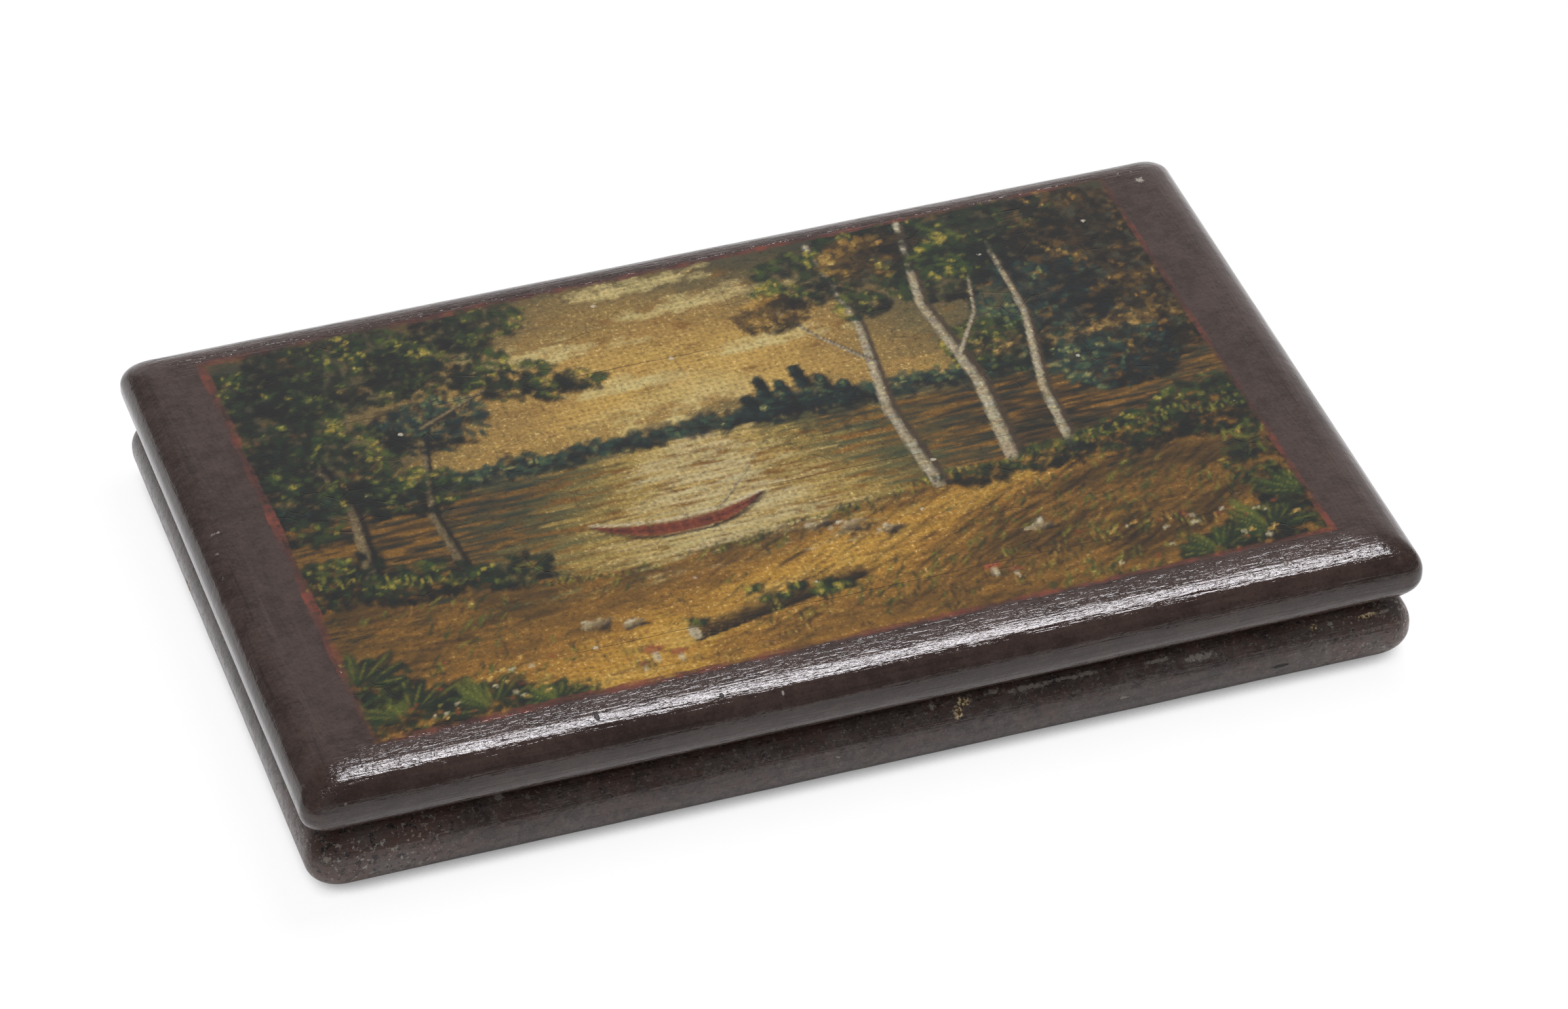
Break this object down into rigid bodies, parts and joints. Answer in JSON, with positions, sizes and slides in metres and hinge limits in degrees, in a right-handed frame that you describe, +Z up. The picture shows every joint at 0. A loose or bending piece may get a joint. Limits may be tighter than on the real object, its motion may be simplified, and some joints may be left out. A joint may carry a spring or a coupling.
{
  "type": "cigarette box",
  "caption": "Flat rectangular cigarette box of dark lacquered wood with rounded rims, a painted lid hinged along the back, and a cedar-lined inside with a divider.",
  "frame": {"origin": "under the middle of the closed box, on the surface that it stands on", "axes": "+X along the box's length, +Y towards the hinged back, +Z up"},
  "size_m": [0.15, 0.095, 0.0183],
  "materials": {
    "lacquer": "dark brown lacquer over wood, glossy, worn at the edges; a painted picture on the lid",
    "cedar": "bare cedar, planed, with fine straight grain",
    "brass": "aged brass, dull, brighter where it rubs"
  },
  "bodies": {
    "base": {"base_shell": "lacquer", "base_lining": "cedar", "liner_front": "cedar", "liner_back": "cedar", "liner_left": "cedar", "liner_right": "cedar", "divider": "cedar", "hinge_left_base_leaf": "brass", "hinge_left_pin": "brass", "hinge_left_base_screw_a": "brass", "hinge_left_base_screw_b": "brass", "hinge_right_base_leaf": "brass", "hinge_right_pin": "brass", "hinge_right_base_screw_a": "brass", "hinge_right_base_screw_b": "brass"},
    "lid": {"lid_shell": "lacquer", "lid_lining": "cedar", "hinge_left_lid_leaf": "brass", "hinge_left_lid_screw_a": "brass", "hinge_left_lid_screw_b": "brass", "hinge_right_lid_leaf": "brass", "hinge_right_lid_screw_a": "brass", "hinge_right_lid_screw_b": "brass"}
  },
  "joints": [
    {"name": "lid_hinge", "type": "hinge", "parent": "base", "child": "lid", "pos_m": [0, 0.0451, 0.00955], "axis": [-1, 0, 0], "range_deg": [0, 110]}
  ]
}
